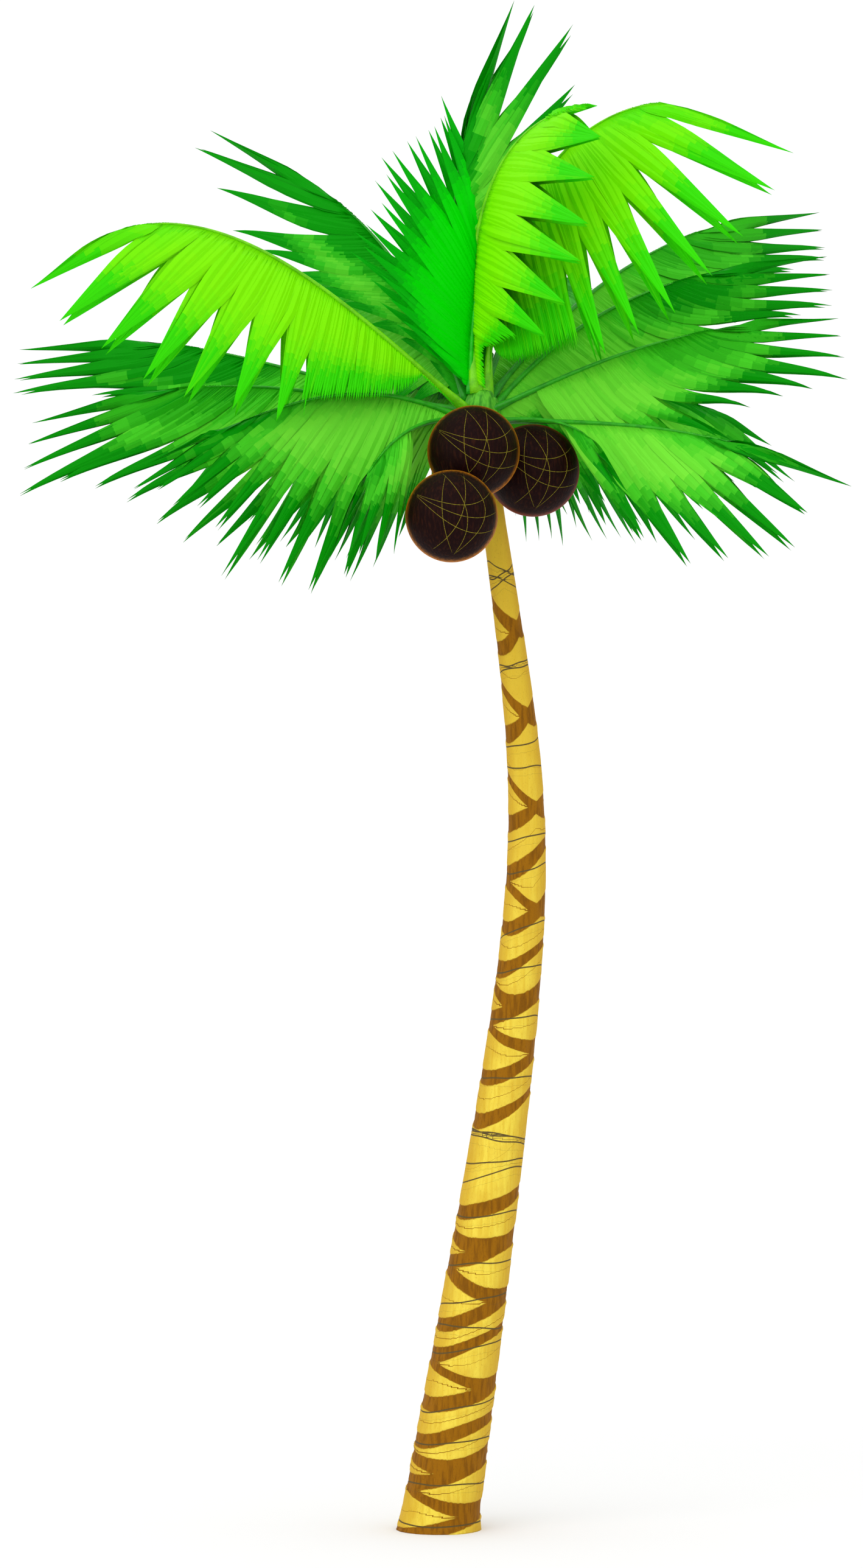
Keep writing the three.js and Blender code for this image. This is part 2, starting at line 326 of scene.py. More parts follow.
# %% Scars and cracks
# Heights of the scars, by the side on which each is highest, in degrees round the trunk from +X.
SCARS = {
    35: [
        0.05, 0.31, 0.52, 0.69, 0.95, 1.09, 1.39, 1.63, 2.11, 2.30, 2.59, 2.84, 3.05, 3.32, 3.55, 4.01,
        4.43,
    ],
    145: [0.18, 0.80, 1.24, 2.445, 3.13, 3.64, 4.10, 4.515],
    90: [0.40, 1.48, 2.69],
}
SCAR_TILT = 0.064
SCAR_HALF = 0.029
STEEPER, WIDER = 0.006, 0.0014  # what tilt and half width gain a metre higher up
SCAR_STRAY = 9  # degrees by which its high side may miss its place
SCAR_TILTS = (0.8, 1.15)  # least and greatest share of the tilt
SCAR_SWELL = 0.3  # share by which its half width swells on one side
SCAR_LEAST = 0.006  # half width
FAR_FROM_SCARS = 9.0  # half widths
WAVES = 5  # of the finest wobble of an edge
# Heights of the cracks, and how much each rises from the middle to its high side.
CRACKS = [
    (0.045, 0.00), (0.243, 0.01), (0.444, 0.01), (0.627, 0.03), (0.906, 0.03), (1.015, -0.01),
    (1.134, 0.03), (1.317, 0.01), (1.56, 0.01), (1.75, 0.04), (1.82, 0.01), (1.925, -0.03),
    (1.94, -0.03), (1.955, -0.03), (2.229, 0.01), (2.517, 0.01), (2.757, 0.02), (2.956, 0.04),
    (3.265, 0.03), (3.41, 0.02), (3.76, 0.01), (3.88, 0.02), (4.24, 0.02), (4.27, 0.02),
    (4.66, 0.04), (4.67, -0.03), (4.72, 0.04), (4.73, -0.03),
]
CRACK_REACH = 0.04
CRACK_STRAY = 0.6  # radians by which its high side may miss its place
rng = np.random.default_rng(11)


def ripple(around, count, size):
    """A closed wobble round the trunk, with count waves of random phase."""
    waves = np.zeros_like(around)
    for number in range(1, count + 1):
        waves += np.sin(number * around + rng.uniform(0, TAU)) / number
    return size * waves


def scar_field(around, height):
    """How far each spot is from its nearest scar's middle, in half widths of that scar."""
    nearest = np.full_like(height, FAR_FROM_SCARS)
    for high_side, heights in SCARS.items():
        for level in heights:
            turn = around - math.radians(high_side + rng.uniform(-SCAR_STRAY, SCAR_STRAY))
            tilt = (SCAR_TILT + STEEPER * level) * rng.uniform(*SCAR_TILTS)
            middle = level + tilt * np.cos(turn) + ripple(around, WAVES - 1, 0.005)
            half = 1 + SCAR_SWELL * np.cos(turn + rng.uniform(1.5, 4)) + ripple(around, WAVES, 0.06)
            half = half * (SCAR_HALF + WIDER * level)
            away = (height - middle) / np.maximum(half, SCAR_LEAST)
            nearest = np.where(np.abs(away) < np.abs(nearest), away, nearest)
    return nearest


def crack_field(around, height):
    """How far each spot is from its nearest crack, in metres."""
    nearest = np.full_like(height, CRACK_REACH)
    for level, rise in CRACKS:
        turn = around - rng.uniform(-CRACK_STRAY, CRACK_STRAY)
        middle = level + rise * np.cos(turn) + ripple(around, WAVES, 0.006)
        away = height - middle
        nearest = np.where(np.abs(away) < np.abs(nearest), away, nearest)
    return nearest


# %% [markdown]
# ## The bark's mesh
# The bark could be a smooth tube with all its detail painted on, but its outline would then be too
# clean, and the exported mesh would be plain. So the tube has rings every 6 mm, and the scars, the
# cracks and a fine uneven grain are pressed into it.

# %% Bark mesh
BARK_SIDES = 104
BARK_RINGS = 900
# Depths and heights are shares of the trunk's radius, and places on a scar are in its half widths.
SCAR_DEPTH = 0.022
SCAR_RIM = 1.15
SCAR_WALL = 0.3
LIP_HEIGHT = 0.016
LIP_PLACE = -1.35
LIP_WIDTH = 0.28
CRACK_DEPTH = 0.010
CRACK_WIDTH = 0.004  # metres
GRAIN_DEPTH = 0.006
GRAIN_WAVES = 40


def grain(spots, count, length, stretch):
    """A random swell made of sine waves, drawn out along the trunk by stretch."""
    swell = np.zeros(len(spots))
    for _ in range(count):
        wave = rng.normal(size=3) * TAU / length
        wave[2] /= stretch
        swell += np.sin(spots @ wave + rng.uniform(0, TAU))
    return swell / math.sqrt(count)


def trunk_spots(around, along):
    turn = around * TAU
    height = along * TRUNK_TOP
    radius = trunk_radius(height)
    across = trunk_middle(height) + radius * np.cos(turn)
    return np.column_stack([across, radius * np.sin(turn), height])


bark = finished("trunk_bark", rolled(BARK_SIDES, BARK_RINGS, trunk_spots))
spots = np.empty(len(bark.data.vertices) * 3)
bark.data.vertices.foreach_get("co", spots)
spots = spots.reshape(-1, 3)
outward = spots - np.column_stack([trunk_middle(spots[:, 2]), np.zeros(len(spots)), spots[:, 2]])
turns = np.arctan2(outward[:, 1], outward[:, 0])
scars = scar_field(turns, spots[:, 2])
cracks = crack_field(turns, spots[:, 2])
sunken = np.clip(SCAR_RIM - np.abs(scars), 0, SCAR_WALL) / SCAR_WALL
lip = np.exp(-(((scars - LIP_PLACE) / LIP_WIDTH) ** 2))
crease = np.exp(-((cracks / CRACK_WIDTH) ** 2))
rough = grain(spots, GRAIN_WAVES, 0.05, 6) + 0.5 * grain(spots, GRAIN_WAVES, 0.02, 4)
relief = -SCAR_DEPTH * sunken + LIP_HEIGHT * lip - CRACK_DEPTH * crease + GRAIN_DEPTH * rough
spots[:, :2] += outward[:, :2] * relief[:, None]
bark.data.vertices.foreach_set("co", spots.ravel())
# How far the bark faces +X or -X, where it carries painted shade for the trunk's rounding seen from the
# front.
painted_flank_shade = np.abs(np.cos(turns))
for name, values in (("scar", scars), ("crack", cracks), ("painted_flank_shade", painted_flank_shade)):
    bark.data.attributes.new(name, "FLOAT", "POINT").data.foreach_set("value", values.astype(np.float32))
print("bark:", len(bark.data.polygons), "faces, relief", relief.min().round(3), relief.max().round(3))

# %% [markdown]
# ## The bark's finish
# Fresh bark is golden. It dulls towards the crown, and both flanks, as seen from the front, carry painted
# shade for the trunk's rounding. The scars are a warm brown, and the cracks nearly black. The grain is noise
# drawn out along the trunk.

# %% Bark finish
SCAR_EDGE = (0.88, 1.06)  # half widths from its middle, where brown turns to gold
CRACK_EDGE = (0.0022, 0.0048)  # metres from its middle

bark_paint = Paint("bark", Roughness=0.75, Specular_IOR_Level=0.12)
streaks = bark_paint.noise(scale=60, detail=4, stretch=(1, 1, 0.12))
patches = bark_paint.noise(scale=7, detail=3)
specks = bark_paint.noise(scale=220, detail=2, stretch=(1, 1, 0.4))
height = bark_paint.coordinate("Z")
gold = bark_paint.mix(streaks.step(0.35, 0.7), linear(232, 208, 72), linear(220, 188, 56))
gold = bark_paint.mix(patches.step(0.45, 0.75) * 0.5, gold, linear(206, 165, 46))
gold = bark_paint.mix(height.step(1.8, 5.0), gold, linear(212, 176, 48))
# Painted shade: the bark is darker where it faces +X or -X, as the round trunk looks from the front.
gold = bark_paint.mix(bark_paint.attribute("painted_flank_shade").step(0.35, 1.0) * 0.85, gold, linear(200, 158, 40))
gold = bark_paint.mix(specks.step(0.62, 0.75) * 0.5, gold, linear(168, 124, 40))
brown = bark_paint.mix(streaks.step(0.4, 0.65), linear(146, 94, 0), linear(122, 76, 2))
brown = bark_paint.mix(specks.step(0.6, 0.72) * 0.5, brown, linear(96, 60, 8))
scar_edge = abs(bark_paint.attribute("scar")) + (streaks - 0.5) * 0.35
in_scar = 1 - scar_edge.step(*SCAR_EDGE)
crack_edge = abs(bark_paint.attribute("crack")) + (specks - 0.5) * 0.002
in_crack = 1 - crack_edge.step(*CRACK_EDGE)
colour = bark_paint.mix(in_scar, gold, brown)
colour = bark_paint.mix(in_crack, colour, linear(90, 74, 40))
bark_paint.drive(Base_Color=colour, Roughness=0.62 + 0.25 * streaks)
bark_paint.bump(streaks + 0.4 * specks, 0.004)
bark.data.materials.append(bark_paint.material)

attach(bark, "root")
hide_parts("trunk")

# %% [markdown]
# ## The fronds' dimensions
# A frond is one rib with leaflets along both sides. Its rib leaves the heart at one slope and ends at
# another, and its leaflets hang in the rib's own upright plane, because their weight folds the blade
# down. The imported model's blades follow the same ribs, so the leaflets lie where the blades do. On a few
# fronds they are a little longer or shorter than the blade, where its outline and the bunches differ.

# %% Frond dimensions
@dataclass
class Frond:
    name: str
    tier: int  # of the heart, the oldest fronds lowest
    heading: float  # compass direction, from +X towards +Y
    rise: float  # slope of the rib at its base
    fall: float  # slope of the rib at its tip
    reach: float  # of the tip, outward from the crown's middle
    lift: float  # of the tip, above the crown's middle
    leaflet: float  # length of the longest
    peak: float  # share of the blade beside which those hang
    tuft: float  # length of the leaflets at the tip, as a share of the longest
    first: float  # slope of the leaflets at the rib's base
    last: float  # slope of the leaflets at the rib's tip
    tint: str
    sprays: int  # bunches of leaflets along each side
    dark_rib: float = 0.5  # how dark the leaflets are along the rib
    bow: float = 0.4
    sweep: float = 0.3  # how far the outermost leaflets point forward, as a share of the rib
    crowding: float = 1.0  # width of each bunch on the rib as a share of the next one further out
    outermost: float = 1.0  # share of the rib beside which the outermost bunch hangs
    seat: float | None = None  # compass direction of its seat on the heart, where that differs
    beam: float | None = None  # compass direction of its right-hand leaflets, where wind has turned them
    swept_from: float = -0.2  # share of the rib from which the leaflets point forward
    curl: float = 0.0  # how far the leaflets bend forward on their way down
    fold: float = 76  # degrees the leaflets hang below level, seen along the rib
    closing: float = 0.42  # length of the leaflets that close over the heart, as a share of the longest
    whole_to: float = -1.0  # share of the rib up to which the leaflets are not gathered in bunches
    whole_reach: float = 0.85  # how much of their length those have


FRONDS = [
    # name, tier, heading, rise, fall, reach, lift, leaflet, peak, tuft, first, last, tint, sprays
    Frond("top", 3, 30, 107, 62, 0.21, 1.99, 0.85, 0.5, 0.0, -40, 72, "deep", 8,
          dark_rib=1.0, sweep=0.36, outermost=0.8, seat=100, beam=270, swept_from=0.2),
    Frond("upright", 3, 192, 88, 56, 0.185, 1.5, 0.63, 0.32, 0.0, -10, 55, "pure", 14,
          dark_rib=0.2, bow=0.45, sweep=0.36, crowding=0.93, outermost=0.86, seat=205, swept_from=-0.4,
          closing=0.3),
    Frond("front_arch", 3, 300, 104, -6, 1.12, 1.33, 0.98, 0.35, 0.15, -32, -2, "lime", 8,
          dark_rib=0.3, bow=0.54, sweep=0.05, crowding=0.93, outermost=0.72, seat=272, beam=270, fold=86,
          closing=0.34, whole_to=0.2),
    Frond("right_arch", 2, 328, 92, -38, 1.76, 1.11, 1.1, 0.52, 0.05, -85, -60, "lime", 11,
          dark_rib=0.3, bow=0.56, sweep=0.28, crowding=0.95, outermost=0.88, seat=352, beam=270,
          swept_from=0.3, closing=0.15, whole_to=0.395, whole_reach=0.9),
    Frond("left_arch", 1, 214, 35, -44, 2.53, 0.42, 0.87, 0.5, 0.05, -88, -56, "lime", 12,
          dark_rib=0.3, bow=0.43, sweep=0.22, crowding=0.9, outermost=0.82, beam=90, swept_from=0.2,
          closing=0.1, whole_to=0.335),
    Frond("left_back", 2, 150, 64, 24, 1.56, 1.43, 0.46, 0.72, 0.24, -60, -46, "deep", 10,
          dark_rib=1.0, bow=0.45, sweep=0.4, curl=1),
    Frond("right_high", 2, 38, 46, 4, 2.27, 1.08, 0.7, 0.37, 0.4, -65, -80, "mid", 11,
          dark_rib=0.3, bow=0.38, sweep=0.4, beam=270, curl=1.6),
    Frond("right_mid", 1, 12, 50, 6, 1.79, 0.75, 0.7, 0.37, 0.4, -65, -85, "mid", 11, sweep=0.4, curl=1.6),
    Frond("right_front", 1, 343, 24, 0, 1.82, 0.36, 0.66, 0.37, 0.42, -75, -85, "mid", 11,
          dark_rib=0.4, sweep=0.4, curl=1.6, closing=0.6),
    Frond("right_low", 0, 325, -3, -23, 2.13, -0.49, 0.75, 0.46, 0.0, -82, -50, "mid", 8,
          outermost=0.81, beam=270, closing=0.6),
    Frond("right_under", 0, 304, -4, -46, 1.15, -0.4, 0.66, 0.37, 0.2, -86, -60, "mid", 8, dark_rib=0.4),
    Frond("left_far", 1, 163, 11, -8, 2.42, 0.31, 0.56, 0.37, 0.42, -60, -85, "mid", 11,
          dark_rib=0.75, sweep=0.4, curl=1.6),
    Frond("left_mid", 0, 184, 12, -20, 2.19, -0.12, 0.84, 0.37, 0.4, -72, -80, "mid", 11,
          dark_rib=0.4, sweep=0.4, curl=1.2),
    Frond("left_low", 0, 207, 22, -24, 1.78, -0.36, 1.0, 0.22, 0.15, -86, -60, "mid", 12,
          beam=90, closing=0.6),
    Frond("left_under", 0, 238, 0, -58, 1.18, -0.64, 0.72, 0.37, 0.3, -90, -66, "mid", 8, dark_rib=0.4),
    Frond("back_high", 2, 96, 62, 2, 1.25, 1.0, 0.64, 0.37, 0.2, -50, -30, "deep", 11),
    Frond("back_high_left", 2, 126, 54, -10, 1.5, 0.72, 0.64, 0.37, 0.3, -60, -40, "deep", 12),
    Frond("back_high_right", 2, 66, 56, -10, 1.5, 0.68, 0.64, 0.37, 0.3, -60, -40, "mid", 12),
    Frond("back_mid_right", 1, 78, 30, -28, 1.9, 0.32, 0.7, 0.37, 0.3, -75, -55, "mid", 14),
    Frond("back_mid_left", 1, 112, 26, -30, 1.9, 0.13, 0.7, 0.37, 0.3, -75, -55, "mid", 14),
    Frond("back_low_left", 0, 134, 12, -36, 2.0, -0.17, 0.8, 0.37, 0.3, -80, -60, "mid", 14),
    Frond("back_low_right", 0, 62, 14, -32, 1.95, -0.07, 0.84, 0.37, 0.3, -80, -60, "mid", 14),
    Frond("back_right", 0, 28, 10, -34, 1.7, -0.17, 0.7, 0.37, 0.3, -80, -60, "mid", 13),
]
TIERS = [(5.462, 0.066), (5.508, 0.062), (5.556, 0.052), (5.592, 0.038)]  # height and radius of the seats
BLADE_START = 0.1
GROWING_POWER = 0.7
SHRINKING_POWER = 1.2
CLOSING_LEAST = 0.4  # length of the very first leaflets over the heart, as a share of those that close it
CLOSING_RISE = 0.12  # share of the blade along which they reach their full length


def direction(heading, slope):
    """Unit vectors of compass directions and slopes, in degrees."""
    heading, slope = np.broadcast_arrays(np.radians(heading), np.radians(slope))
    return np.stack([np.cos(slope) * np.cos(heading), np.cos(slope) * np.sin(heading), np.sin(slope)], -1)


def rib_line(frond):
    """The four control points of a frond's rib."""
    height, radius = TIERS[frond.tier]
    seat = frond.heading if frond.seat is None else frond.seat
    base = direction(seat, 0) * radius + [CROWN[0], 0, height]
    tip = direction(frond.heading, 0) * frond.reach + CROWN + [0, 0, frond.lift]
    pull = frond.bow * np.linalg.norm(tip - base)
    first = base + direction(frond.heading, frond.rise) * pull
    last = tip - direction(frond.heading, frond.fall) * pull
    return np.array([base, first, last, tip])


def leaflet_share(frond, along):
    """Length of the leaflets whose tips hang beside a share of the rib, as a share of the longest."""
    past = np.clip((along - BLADE_START) / (1 - BLADE_START), 0, 1)
    growing = np.sin(np.minimum(past / frond.peak, 1) * math.pi / 2) ** GROWING_POWER
    shrinking = np.cos(np.maximum((past - frond.peak) / (1 - frond.peak), 0) * math.pi / 2) ** SHRINKING_POWER
    tuft = frond.tuft * past**2
    share = tuft + (1 - tuft) * growing * shrinking
    closing = frond.closing * (CLOSING_LEAST + (1 - CLOSING_LEAST) * np.clip(past / CLOSING_RISE, 0, 1))
    return np.where(past < frond.peak, np.maximum(share, closing), share)


print("fronds:", len(FRONDS))

# %% [markdown]
# ## Nuts first
# The nuts hang in front of the trunk, so that leaflets have to give way to them. Their places are
# needed before the leaflets grow.

# %% Nut places
NUT_RADIUS = 0.228
NUT_DEPTH = 0.85  # a husk is a little flat from front to back
# Middle of each nut as it shows against the trunk, across and up, and how far it hangs out in front.
NUTS = {"upper": (0.174, 5.310, 0.53), "right": (0.468, 5.217, 0.245), "lower": (0.066, 4.992, 0.79)}
NUT_ROOM = 0.012
TRUNK_ROOM = 0.01


def in_front(across, height, out):
    """The spot at that distance in front of the trunk that the eye sees at (across, height) on it."""
    spot = Vector((across, 0, height))
    return spot + (EYE - spot) * (out / VIEW_DISTANCE), 1 - out / VIEW_DISTANCE


NUT_PLACES = {name: in_front(*place) for name, place in NUTS.items()}


def hides_a_nut(spots):
    """Whether any of a leaflet's spots lies in a nut, or in front of one."""
    hidden = np.zeros(spots.shape[0], bool)
    for middle, _ in NUT_PLACES.values():
        away = spots - np.array(middle)
        beside = np.hypot(away[..., 0], away[..., 2]) < NUT_RADIUS + NUT_ROOM
        hidden |= (beside & (away[..., 1] < NUT_RADIUS * NUT_DEPTH)).any(axis=1)
    return hidden


def meets_the_trunk(spots):
    height = np.clip(spots[..., 2], 0, TRUNK_TOP)
    away = np.hypot(spots[..., 0] - trunk_middle(height), spots[..., 1])
    return ((away < trunk_radius(height) + TRUNK_ROOM) & (spots[..., 2] < TRUNK_TOP)).any(axis=1)


print("nuts at", {name: tuple(round(c, 2) for c in spot) for name, (spot, _) in NUT_PLACES.items()})

# %% [markdown]
# ## Leaf colours
# A leaflet is lighter near the rib and darker towards its tip, and young fronds are yellower. A colour
# that has its place on every leaflet can't be a pattern on the whole crown, so each tint is a short row
# of plain paints, and each stretch of a leaflet takes the one that belongs there.

# %% Leaf paints
TONES = 9
TINTS = {
    "lime": [(124, 230, 0), (108, 226, 0), (52, 210, 0)],
    "pure": [(0, 212, 0), (0, 202, 0), (0, 166, 6)],
    "mid": [(112, 218, 52), (66, 194, 32), (0, 140, 0)],
    "deep": [(92, 202, 42), (46, 178, 22), (0, 144, 0)],
}


def tone_row(tint):
    """The paints of one tint, from its lightest to its darkest."""
    stops = np.array([linear(*colour)[:3] for colour in TINTS[tint]])
    paints = []
    for number, share in enumerate(np.linspace(0, 2, TONES)):
        colour = [np.interp(share, [0, 1, 2], stops[:, channel]) for channel in range(3)]
        name = f"leaf_{tint}_{number}"
        paints.append(Paint(name, Base_Color=(*colour, 1), Roughness=0.5, Specular_IOR_Level=0.06).material)
    return paints


leaf_paints = {tint: tone_row(tint) for tint in TINTS}
print("leaf paints:", sum(len(row) for row in leaf_paints.values()))

# %% [markdown]
# ## Where the leaflets start and end
# A palm's leaflets stand a finger's width apart, and wind and weight gather their tips into bunches, so
# that a frond is a closed blade near its rib and a row of long spikes further out. So each leaflet needs
# three places: its root on the rib, where it would end by itself, and where its bunch ends. Copies of one
# leaflet would look alike, so all leaflets of a frond are worked out one by one, at once, as arrays.

# %% Leaflet places
LEAFLET_STEP = 0.0125  # between neighbours on the rib
LEAF_START = 0.03  # share of the rib beside which the first leaflets hang
STALK_END = 0.03  # share of the rib that is bare
JITTER = 0.15  # of a root, as a share of that step
DRIFT = 0.05  # of a bunch's tip, as a share of the gap to the next
RAGGED = {"lime": 0.02, "pure": 0.05, "mid": 0.06, "deep": 0.04}  # how much the bunches differ in length


@dataclass
class Leaflets:
    """All leaflets of one frond, in arrays with one row for each."""

    beside: np.ndarray  # share of the rib beside which it hangs
    sign: np.ndarray  # 1 on the rib's right-hand side and -1 on its left
    bunch: np.ndarray  # number of its bunch
    length: np.ndarray  # of its bunch
    start: np.ndarray  # its root
    forward: np.ndarray  # direction of the rib there
    own: np.ndarray  # where it would end by itself
    tip: np.ndarray  # where its bunch ends


def smoothstep(value, low, high):
    share = np.clip((value - low) / (high - low), 0, 1)
    return share * share * (3 - 2 * share)


def root_of(frond, beside):
    """Where on the rib a leaflet is rooted whose tip hangs beside the rib further out."""
    root = beside - frond.sweep * smoothstep(beside, frond.swept_from, 1)
    return np.where(beside < 1, root, 1 - frond.sweep + 0.3 * (beside - 1))


def bunches(frond):
    """Shares of the rib beside which the bunches' tips hang, and how far below it they end.

    Past the rib's end the bunches get shorter, and the last one is the rib's own tip.
    """
    gaps = frond.crowding ** np.arange(frond.sprays)[::-1]
    last = 3 if frond.tuft > 0.3 else 1
    inner = LEAF_START + (frond.outermost - LEAF_START) * np.cumsum(gaps) / gaps.sum()
    first_end = max(1.0, frond.outermost + gaps[-1] / gaps.sum())
    centres = np.append(inner, first_end + np.arange(last) / frond.sprays)
    lengths = frond.leaflet * leaflet_share(frond, np.minimum(centres, 1))
    lengths[-last:] *= 1 - np.arange(1, last + 1) / last
    return centres, lengths


def lean_of(frond, beside):
    return direction(frond.heading, frond.first + (frond.last - frond.first) * np.minimum(beside, 1))


def hanging_tips(frond, line, beside, sign, length):
    """Where leaflets of those lengths end that hang beside the rib at those shares of it."""
    lean = lean_of(frond, beside)
    side = direction(frond.heading - 90 if frond.beam is None else frond.beam, 0)
    fold = math.radians(frond.fold)
    hang = sign[:, None] * side * math.cos(fold) + lean * math.sin(fold)
    return bezier(line, np.clip(beside, 0, 1))[0] + hang * length[:, None]


def place_leaflets(frond, line, chance):
    """The leaflets of a frond, from the stalk to the rib's end and on both of its sides."""
    rib_length = np.linalg.norm(np.diff(bezier(line, np.linspace(0, 1, 200))[0], axis=0), axis=1).sum()
    centres, lengths = bunches(frond)
    borders = (centres[1:] + centres[:-1]) / 2
    beside = np.arange(LEAF_START, centres[-1], LEAFLET_STEP / rib_length)
    beside = beside + chance.normal(0, JITTER * LEAFLET_STEP / rib_length, len(beside))
    beside = np.tile(beside, 2)
    sign = np.repeat([1.0, -1.0], len(beside) // 2)
    bunch = np.searchsorted(borders, beside)

    # The last bunch lies along the rib's own end, so it doesn't drift.
    reaches = lengths * (1 + chance.normal(0, RAGGED[frond.tint], len(centres)))
    gaps = np.diff(centres, append=2 * centres[-1] - centres[-2])
    drifts = gaps * chance.normal(0, DRIFT, len(centres))
    drifts[-1] = 0
    whole = frond.leaflet * frond.whole_reach * leaflet_share(frond, np.minimum(beside, 1))
    reach = np.where(beside < frond.whole_to, whole, lengths[bunch])
    start, forward = bezier(line, np.clip(root_of(frond, beside), STALK_END, 1))
    return Leaflets(
        beside=beside,
        sign=sign,
        bunch=bunch,
        length=lengths[bunch],
        start=start,
        forward=forward,
        own=hanging_tips(frond, line, beside, sign, reach),
        tip=hanging_tips(frond, line, (centres + drifts)[bunch], sign, reaches[bunch]),
    )


# %% [markdown]
# ## The leaflets' shapes
# A leaflet runs beside its neighbours for the first part of its way and then towards the tip of its
# bunch. It is a thin closed blade of twelve short stretches, which twists a little, narrows to a point and
# folds down on both sides of its own midrib.

# %% Leaflet shapes
STRETCHES = 12
UNEVEN = 3 / STRETCHES  # how far the stretches differ in length
LEAFLET_WIDTH = 0.042
LEAFLET_THICKNESS = 0.0016
GATHER_START = 0.28  # share of a leaflet from which it heads for the tip of its bunch
GATHER_BLEND = 0.01  # share of the rib over which gathering sets in
BULGE = 0.34  # how far a leaflet bows out on its way down
BOW_SIDE, BOW_FORWARD, BOW_STRAY = 0.8, 0.3, 0.12  # the parts of that bow
SHORTER = 0.02  # how much leaflets differ in length
WIDER_BY = 0.08  # and in width
TWIST = 0.15
KEEL = 0.22  # how far a leaflet's edges fold down from its midrib, as a share of its half width
FULL_SPAN = 0.6  # length at which a leaflet has its full width
POINT_START = 0.4  # share of a leaflet from which it narrows
POINT_POWER = 0.9


def leaflet_paths(frond, leaflets, chance):
    """The midrib of every leaflet (leaflets, stations, 3), and the stations as shares of its way."""
    s = np.linspace(0, 1, STRETCHES + 1)[None, :]
    s = s + UNEVEN * s * (1 - s) * chance.uniform(-1, 1, (len(leaflets.beside), 1))
    t = s[..., None]
    low, high = frond.whole_to - GATHER_BLEND, frond.whole_to + GATHER_BLEND
    gathered = smoothstep(leaflets.beside, low, high)[:, None, None]
    gather = np.clip((t - GATHER_START) / (1 - GATHER_START), 0, 1) * gathered
    shorter = (1 - np.abs(chance.normal(0, SHORTER, len(s))))[:, None, None]
    start, own, tip = leaflets.start, leaflets.own, leaflets.tip
    way = start[:, None] + (own - start)[:, None] * t + (tip - own)[:, None] * gather

    span = np.linalg.norm(tip - start, axis=1)[:, None, None]
    side = direction(frond.heading - 90, 0)
    bow_out = leaflets.sign[:, None] * side * BOW_SIDE + leaflets.forward * BOW_FORWARD
    bow_out = bow_out + chance.normal(0, BOW_STRAY, start.shape)
    bend = frond.curl * leaflets.length * smoothstep(leaflets.beside, 0.2, 0.9)
    way = way + bow_out[:, None] * (BULGE * span) * t * (1 - t) ** 2
    way = way + (lean_of(frond, leaflets.beside) * bend[:, None])[:, None] * t * (1 - t) ** 2
    return start[:, None] + (way - start[:, None]) * shorter, s


def leaflet_sections(leaflets, path, s, chance):
    """The corners of every section (leaflets, stations, 4, 3): an edge, the top, an edge, the underside."""
    t = s[..., None]
    run = unit(np.gradient(path, axis=1))
    ahead = (leaflets.forward * leaflets.sign[:, None])[:, None]
    across = unit(ahead - run * (ahead * run).sum(-1, keepdims=True))
    up = np.cross(run, across)
    twist = chance.normal(0, TWIST, len(s))[:, None, None] * t**2
    across, up = across * np.cos(twist) + up * np.sin(twist), up * np.cos(twist) - across * np.sin(twist)

    opening = 0.4 + 0.6 * smoothstep(s, 0, 0.15)
    narrowing = (1 - np.clip((s - POINT_START) / (1 - POINT_START), 0, 1)) ** POINT_POWER
    span = np.linalg.norm(leaflets.tip - leaflets.start, axis=1)
    wide = LEAFLET_WIDTH * (0.55 + 0.45 * np.minimum(span / FULL_SPAN, 1.2))
    wide = wide * (1 + chance.normal(0, WIDER_BY, len(s)))
    wide = (wide[:, None] * (opening * narrowing + 0.02))[..., None] / 2
    thick = LEAFLET_THICKNESS * (1.2 - t)
    drop = up * (wide * KEEL)
    right, left = path + across * wide - drop, path - across * wide - drop
    return np.stack([right, path + up * thick, left, path - up * thick], axis=2)


def leaflet_tones(frond, leaflets, s, chance):
    """Number of the paint on every stretch: darker at the tip, far out and, on some fronds, at the rib."""
    middle = (s[:, :-1] + s[:, 1:]) / 2
    outer = smoothstep(leaflets.beside, 0.6, 0.96)[:, None]
    tips = smoothstep(middle, 0.3, 0.76)
    edge = 1 - smoothstep(middle * leaflets.length[:, None], 0.03, 0.16)
    edge = edge * frond.dark_rib * (0.75 * frond.dark_rib**2 + outer)
    bunch_shades = chance.normal(0, 0.04, (len(bunches(frond)[0]), 2))
    shade = bunch_shades[leaflets.bunch, (leaflets.sign > 0).astype(int)]
    shade = shade + chance.normal(0, 0.035, len(s))
    tone = np.maximum(tips, edge) + 0.4 * outer + shade[:, None]
    return np.clip(np.round(tone * (TONES - 1)), 0, TONES - 1).astype(int)


def grow_leaflets(frond, seed):
    """Sections and tones of the frond's leaflets, without those that a nut or the trunk pushes away."""
    chance = np.random.default_rng(seed)
    leaflets = place_leaflets(frond, rib_line(frond), chance)
    path, s = leaflet_paths(frond, leaflets, chance)
    sections = leaflet_sections(leaflets, path, s, chance)
    tones = leaflet_tones(frond, leaflets, s, chance)
    keep = ~(hides_a_nut(path) | meets_the_trunk(path))
    return sections[keep], tones[keep]


# %% [markdown]
# ## The fronds' leaflets
# An object for each of hundreds of leaflets would be slow, so those of one frond become one mesh, filled
# from the arrays. The edges along a leaflet stay sharp, which keeps its midrib crisp.

# %% Leaflet meshes
FIRST_SEED = 100


